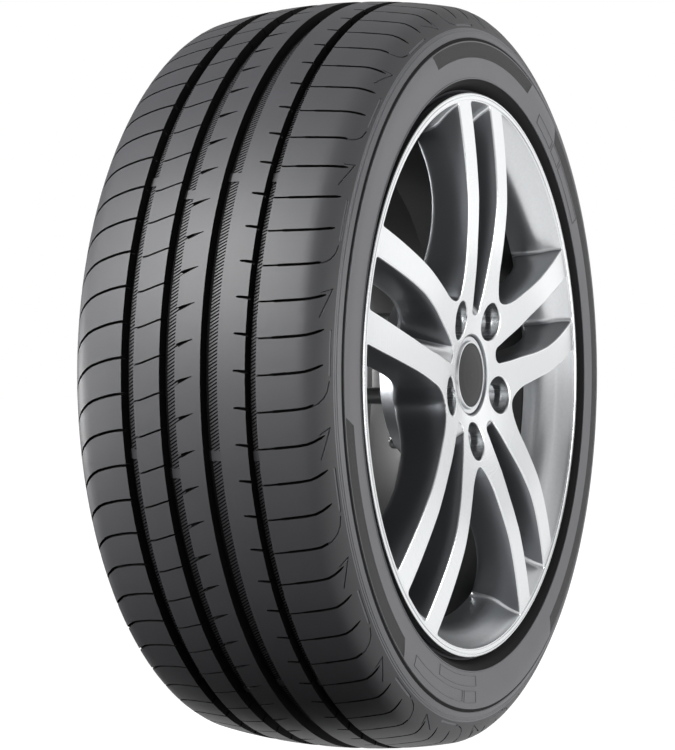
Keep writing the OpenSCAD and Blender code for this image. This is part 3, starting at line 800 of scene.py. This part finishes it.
def plate(height, rim_radius, step, pocket_r, hub_r, creases, finish):
    """The wheel's face or back, lifted to its height."""
    holes = [turned(opening(kind, *step)[0], degrees) for kind, degrees in openings]
    holes += [circle(pocket_r, 48, middle) for middle in pockets] + [circle(hub_r, 96)]
    rim_line = circle(rim_radius, RIM_COLUMNS)
    rings = [circle(r, int(2 * math.pi * r / DOT_STEP)) for r in np.arange(hub_r + 6, rim_radius - 4, RING_STEP)]
    dots = np.concatenate(rings)
    fixed = np.concatenate(holes + [rim_line] + [circle(r, 120) for r in creases])
    near = np.array([np.min(np.hypot(*(fixed - dot).T)) for dot in dots])
    blocked = near < DOT_CLEAR
    for hole in holes:
        blocked |= inside(dots[:, 0], dots[:, 1], hole)

    def keep(x, y):
        kept = np.hypot(x, y) < rim_radius
        for hole in holes:
            kept &= ~inside(x, y, hole)
        return kept

    flat, faces = triangulate(holes + [rim_line] + [circle(r, 120) for r in creases], [], dots[~blocked], keep)
    wheel.patch(stand(flat[:, 0], flat[:, 1], height(np.hypot(*flat.T))), faces, finish)
    print("a plate has", len(faces), "triangles")


plate(face_height, 230.3, STEPS[0], 17.2, 34.9, (), LACQUER)
plate(back_height, 208.8, STEPS[-1], 8.0, 29.55, (72.0, 77.0), PAINT)
for kind, degrees in openings:
    walls = []
    for step in STEPS:
        loop, height = opening(kind, *step)
        walls.append(stand(*turned(loop, degrees).T, height))
    finishes = np.full((len(walls) - 1, len(loop)), PAINT)
    finishes[:EDGE_RINGS] = LACQUER
    # The flared ends and the twin ramps take the lighter silver: painted light.
    finishes[EDGE_RINGS:, FLARE_START:len(loop) - FLARE_START] = BRIGHT
    if kind == "twin":
        finishes[EDGE_RINGS:, :RAMP_END] = BRIGHT
        finishes[EDGE_RINGS:, len(loop) - RAMP_END:] = BRIGHT
    wheel.rings(walls, finishes)
print("walled", len(openings), "openings")

# %% [markdown]
# The bolts sit in deep pockets with a conical seat, and the hub has a stepped bore for the cap. Each
# is turned about its own axis. The first ring of a pocket lies on the dished face, so its height
# is read from the same curve as the face itself.

# %% Pockets and hub
for middle in pockets:
    walls = []
    for r, height in ((17.2, 0), (16.35, -0.35), (16, -1.2), (16, 80), (15.5, 78.5), (14.3, 78), (12.3, 78),
                      (7.5, 69.7), (7.5, 48.5), (8, MOUNT_FACE)):
        ring = circle(r, 48, middle)
        walls.append(stand(*ring.T, face_height(np.hypot(*ring.T)) + height if height <= 0 else height))
    wheel.rings(walls, [LACQUER] * 6 + [PAINT] * (len(walls) - 7))

hub_line = ((34.9, 100.5), (33.95, 100.15), (33.6, 99.3), (33.6, 91.8), (27, 91.8), (27, 68), (29.75, 68),
            (29.75, 61.2), (28.55, 60), (28.55, 49), (29.55, MOUNT_FACE))
wheel.rings([stand(*circle(r, 96).T, out) for r, out in hub_line], PAINT)
print("sank", len(pockets), "bolt pockets and the hub's bore")

# %% [markdown]
# The rim is a turned barrel. A bright lip with a fine groove ends the face, the flange curls back to
# hold the tyre's bead, and the drop well is what lets a tyre be fitted at all. Inside, behind the
# spokes, the barrel gets a nearly black coat: painted shade, which makes the windows look deep.

# %% Rim
flange_angles = np.radians(np.linspace(360, 270, 9))
flange = np.stack([226.8 + 9.5 * np.cos(flange_angles), 104.75 + 9.5 * np.sin(flange_angles)], 1)
seat = [(223.8, 95.25), (219.9, 93.85), (217.95, 91.25), (216.64, 76.25), (218.1, 71.75)]
lip = [(230.3, 108.35), (230.5, 109.0), (230.9, 109.25), (233.0, 109.25), (233.25, 108.5), (233.75, 108.5),
       (234.0, 109.2), (235.2, 109.1), (236.0, 108.6), (236.3, 107.8)]
inboard = [(236.3, 107.65), (235.8, 108.75), (234.7, 109.25), (230.5, 109.25), (228.7, 107.45),
           (221.3, 97.75), (213.4, 89.75), (210.8, 81.25), (209.9, 52.25)]
rim_line = np.concatenate([
    lip, flange, seat, [(216.4, 68.25), (201, 47.25), (201, -12), (216.4, -51.25)],
    np.array(seat[::-1]) * (1, -1), flange[::-1] * (1, -1), np.array(inboard) * (1, -1),
    [(194.5, -13), (194.5, 45.25), (203, 58.0), (208.8, float(back_height(208.8)))]])
TURN_BACK = 30
# The barrel behind the spokes gets the nearly black coat: painted shade.
on_barrel = (rim_line[:-1, 0] < 222) & (rim_line[:-1, 1] < 60) & (np.arange(len(rim_line) - 1) > TURN_BACK)
rim_finish = np.where(on_barrel, BARREL_SHADE, PAINT)
rim_finish[:len(lip) - 1] = LACQUER
wheel.rings([stand(*circle(r, RIM_COLUMNS).T, out) for r, out in rim_line], rim_finish)
print("turned a rim of", len(rim_line), "rings")

# %% [markdown]
# A tyre's outside is carbon black rubber, vulcanised against steel moulds. It is a dark satin
# grey rather than black, because its fine grain scatters light: typical rubber has an IOR near 1.52,
# a roughness above one half and no metal. Its skin has a grain of about half a millimetre.

# %% Rubber
def roughen(tree, shader, height, distance, strength=1.0):
    """Raise the surface by a height from 0 to 1 times a distance in metres."""
    bump = add(tree, "ShaderNodeBump", {"Distance": distance, "Strength": strength}, {"Height": height})
    tree.links.new(bump.outputs[0], shader.inputs["Normal"])


def rubber(name, dark, light, roughness, gloss):
    """Rubber that drifts between two greys, with its skin still smooth."""
    material, tree, shader, place = start_material(name, dark, 0.0, roughness)
    shader.inputs["IOR"].default_value = 1.52
    shader.inputs["Specular IOR Level"].default_value = gloss
    cloud = add(tree, "ShaderNodeTexNoise", {"Scale": 22.0, "Detail": 5.0, "Roughness": 0.6}, {"Vector": place})
    tint = add(tree, "ShaderNodeMix", {"data_type": "RGBA", 6: colour(dark), 7: colour(light)},
               {0: cloud.outputs[0]})
    tree.links.new(tint.outputs[2], shader.inputs["Base Color"])
    return material, tree, shader, place


def grained(material, tree, shader, place):
    """The same rubber with the mould's fine grain on its skin."""
    grain = add(tree, "ShaderNodeTexNoise", {"Scale": 1400.0, "Detail": 2.0}, {"Vector": place})
    roughen(tree, shader, grain.outputs[0], 0.00006, 0.6)
    return material


tread_rubber = grained(*rubber("tread_compound", "#29292b", "#303033", 0.55, 0.37))
print("made", tread_rubber.name)

# %% [markdown]
# The walls and floors of the cuts are coloured far darker than the ribs: painted shade, for the light
# that does not reach into them. Their roughness is a little higher, and their sheen is held back.

# %% Rubber in the cuts
cut_shade_rubber = grained(*rubber("cut_compound_painted_shade", "#060606", "#0a0a0a", 0.7, 0.12))
print("made", cut_shade_rubber.name)

# %% [markdown]
# The mould of a sidewall is turned on a lathe, which leaves very fine rings in the rubber, a few
# tenths of a millimetre apart. They are drawn one and a half millimetres apart here, as coarse as they
# need to be to show. The rings follow the radius from the wheel's axis.

# %% Sidewall rubber
TURNING_STEP = 0.0015


def polar(tree, place):
    """The radius in metres and the angle in radians about the wheel's axis."""
    split = add(tree, "ShaderNodeSeparateXYZ", links={0: place})
    x, z = split.outputs[0], split.outputs[2]
    square_x = add(tree, "ShaderNodeMath", {"operation": "MULTIPLY"}, {0: x, 1: x})
    square = add(tree, "ShaderNodeMath", {"operation": "MULTIPLY_ADD"}, {0: z, 1: z, 2: square_x.outputs[0]})
    radius = add(tree, "ShaderNodeMath", {"operation": "SQRT"}, {0: square.outputs[0]})
    angle = add(tree, "ShaderNodeMath", {"operation": "ARCTAN2"}, {0: z, 1: x})
    return radius.outputs[0], angle.outputs[0]


def ripple(tree, value, per_unit):
    """A sine from -1 to 1 that repeats a number of times over one unit of a value."""
    scaled = add(tree, "ShaderNodeMath", {"operation": "MULTIPLY", 1: 2 * math.pi * per_unit}, {0: value})
    return add(tree, "ShaderNodeMath", {"operation": "SINE"}, {0: scaled.outputs[0]}).outputs[0]


side_rubber, tree, shader, place = rubber("sidewall_compound", "#46464a", "#505054", 0.5, 0.5)
radius = polar(tree, place)[0]
roughen(tree, shader, ripple(tree, radius, 1 / TURNING_STEP), 0.00004, 0.5)
print("made", side_rubber.name)

# %% [markdown]
# The curved panels are knurled: the mould has rows of fine slanting teeth, which trap light and make
# the panel look velvety and darker than the wall. The teeth run outwards and lean with the angle.

# %% Knurled rubber
TEETH = 1100
TOOTH_LEAN = 6.0
knurl_rubber, tree, shader, place = rubber("knurled_compound", "#1a1a1b", "#1f1f20", 0.6, 0.35)
radius, angle = polar(tree, place)
lean = add(tree, "ShaderNodeMath", {"operation": "MULTIPLY_ADD", 1: TOOTH_LEAN}, {0: radius, 2: angle})
teeth = ripple(tree, lean.outputs[0], TEETH / (2 * math.pi))
roughen(tree, shader, teeth, 0.0002, 0.7)
print("made", knurl_rubber.name)

# %% [markdown]
# The wheel is cast aluminium under clear lacquer: metallic, bright, and only a little rough, since
# the lacquer levels the grain of the casting. Metals keep their own IOR. The face has been turned on a
# lathe, which leaves grooves round the hub too fine to draw. Two things stand for them: the shader's
# tangent runs round the axis and stretches every highlight across the grooves, as turned metal does,
# and faint streaks a few tenths of a millimetre apart vary the tone with the radius.

# %% Lacquered aluminium
TOOL_STEP = 0.0004
face_alloy, tree, shader, place = start_material("lacquered_aluminium", "#d6d8da", 1.0, 0.26)
shader.inputs["Anisotropic"].default_value = 0.5
round_hub = add(tree, "ShaderNodeTangent", {"direction_type": "RADIAL", "axis": "Y"})
tree.links.new(round_hub.outputs[0], shader.inputs["Tangent"])
radius = polar(tree, place)[0]
turning = add(tree, "ShaderNodeCombineXYZ", links={0: radius})
streaks = add(tree, "ShaderNodeTexNoise", {"Scale": 1 / TOOL_STEP, "Detail": 3.0}, {"Vector": turning.outputs[0]})
tint = add(tree, "ShaderNodeMix", {"data_type": "RGBA", 6: colour("#d0d2d4"), 7: colour("#dddfe0")},
           {0: streaks.outputs[0]})
tree.links.new(tint.outputs[2], shader.inputs["Base Color"])
sheen = add(tree, "ShaderNodeMapRange", {"To Min": 0.2, "To Max": 0.32}, {0: streaks.outputs[0]})
tree.links.new(sheen.outputs[0], shader.inputs["Roughness"])
shader.inputs["Coat Weight"].default_value = 0.25
shader.inputs["Coat Roughness"].default_value = 0.08
roughen(tree, shader, streaks.outputs[0], 0.00002, 0.3)
print("made", face_alloy.name)

# %% [markdown]
# Inside the openings the casting is only sprayed with silver paint: metal flakes in a dark binder. It
# is greyer and softer than the turned face, and it shows the fine orange peel of a sprayed coat. One
# function sprays a coat of any kind: its tone drifts between two colours with one noise, and its skin
# is raised by the peel, whose waves are about two millimetres long.

# %% Silver paint
def sprayed(name, dark, light, metallic, roughness, tone_scale, peel_scale, peel_depth):
    """A sprayed coat: two tones drifting with one noise, and orange peel of a scale and depth."""
    material, tree, shader, place = start_material(name, dark, metallic, roughness)
    tone = add(tree, "ShaderNodeTexNoise", {"Scale": tone_scale, "Detail": 2.0}, {"Vector": place})
    tint = add(tree, "ShaderNodeMix", {"data_type": "RGBA", 6: colour(dark), 7: colour(light)},
               {0: tone.outputs[0]})
    tree.links.new(tint.outputs[2], shader.inputs["Base Color"])
    peel = add(tree, "ShaderNodeTexNoise", {"Scale": peel_scale, "Detail": 3.0}, {"Vector": place})
    roughen(tree, shader, peel.outputs[0], peel_depth, 0.4)
    print("sprayed", material.name)
    return material


silver_paint = sprayed("silver_paint", "#6c6e71", "#828487", 0.92, 0.32, 3000.0, 420.0, 0.00005)

# %% [markdown]
# On an opening's flared outer end and on the ramp at its root the silver is lighter than on the walls:
# painted light, a highlight where these faces catch the light. The coat has no streaks, so its
# highlights are round. It is a separate coat for that reason.

# %% Lighter silver, painted light
lit_silver_coat = sprayed("silver_painted_light", "#c2c4c6", "#cfd1d3", 1.0, 0.3, 420.0, 420.0, 0.00003)

# %% [markdown]
# The inside of the barrel gets a nearly black coat, no metal: painted shade behind the spokes. It is satin,
# with a coarser peel, since nobody polishes what a brake hides, and reflects a little less than plastic does.

# %% Barrel coat, painted shade
barrel_shade_coat = sprayed("barrel_painted_shade", "#090909", "#101011", 0.0, 0.4, 260.0, 260.0, 0.0001)
barrel_shade_coat.node_tree.nodes["Principled BSDF"].inputs["Specular IOR Level"].default_value = 0.4

# %% [markdown]
# Both shells are now welded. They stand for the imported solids, which stay in the physics, ride on
# the one body, and take the finishes in the order in which their patches counted them.

# %% Tyre and wheel
tyre_piece = tyre.finish("moulded_tyre", (tread_rubber, cut_shade_rubber, side_rubber, knurl_rubber), 28)
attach(tyre_piece, "root")
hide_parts("tyre")
wheel_piece = wheel.finish("cast_wheel", (face_alloy, silver_paint, barrel_shade_coat, lit_silver_coat), 18)
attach(wheel_piece, "root")
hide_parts("alloy_wheel")

# %% [markdown]
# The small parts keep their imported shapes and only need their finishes: silver moulded ABS for the cap's
# ring, a black lacquered disc, zinc plated steel bolts, a spring of drawn wire, moulded rubber and
# nylon on the valve, and turned brass for its stem and core.

# %% Small parts
def plain_finish(name, dark, light, metallic, roughness, scale, depth):
    """A finish that drifts between two tones, with grain of a given scale and depth."""
    material, tree, shader, place = start_material(name, dark, metallic, roughness)
    grain = add(tree, "ShaderNodeTexNoise", {"Scale": scale, "Detail": 4.0}, {"Vector": place})
    tint = add(tree, "ShaderNodeMix", {"data_type": "RGBA", 6: colour(dark), 7: colour(light)},
               {0: grain.outputs[0]})
    tree.links.new(tint.outputs[2], shader.inputs["Base Color"])
    roughen(tree, shader, grain.outputs[0], depth, 0.5)
    return material


finishes = {
    "centre_cap": plain_finish("silver_abs", "#c4c6c8", "#d2d4d6", 0.9, 0.3, 300.0, 0.00002),
    "cap_badge": plain_finish("black_lacquer", "#0c0c0d", "#121213", 0.0, 0.3, 500.0, 0.00001),
    "cap_spring": plain_finish("drawn_spring_steel", "#8f9194", "#a3a5a8", 1.0, 0.3, 900.0, 0.00002),
    "wheel_bolts": plain_finish("zinc_plated_steel", "#cfd1d3", "#dfe0e2", 1.0, 0.16, 600.0, 0.00002),
    "valve_rubber": plain_finish("moulded_epdm", "#111112", "#171718", 0.0, 0.6, 800.0, 0.00005),
    "valve_stem": plain_finish("turned_brass", "#a98a4e", "#bb9c5c", 1.0, 0.28, 700.0, 0.00002),
    "valve_core": plain_finish("plated_brass", "#b79b62", "#c4a96f", 1.0, 0.26, 700.0, 0.00002),
    "valve_cap": plain_finish("moulded_nylon", "#101011", "#151516", 0.0, 0.45, 900.0, 0.00003)}
for node, material in finishes.items():
    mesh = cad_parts[node].data
    mesh.materials.clear()
    mesh.materials.append(material)
badge_shader = finishes["cap_badge"].node_tree.nodes["Principled BSDF"]
badge_shader.inputs["IOR"].default_value = 1.3
badge_shader.inputs["Specular IOR Level"].default_value = 0.35
print("finished", len(finishes), "packed parts")
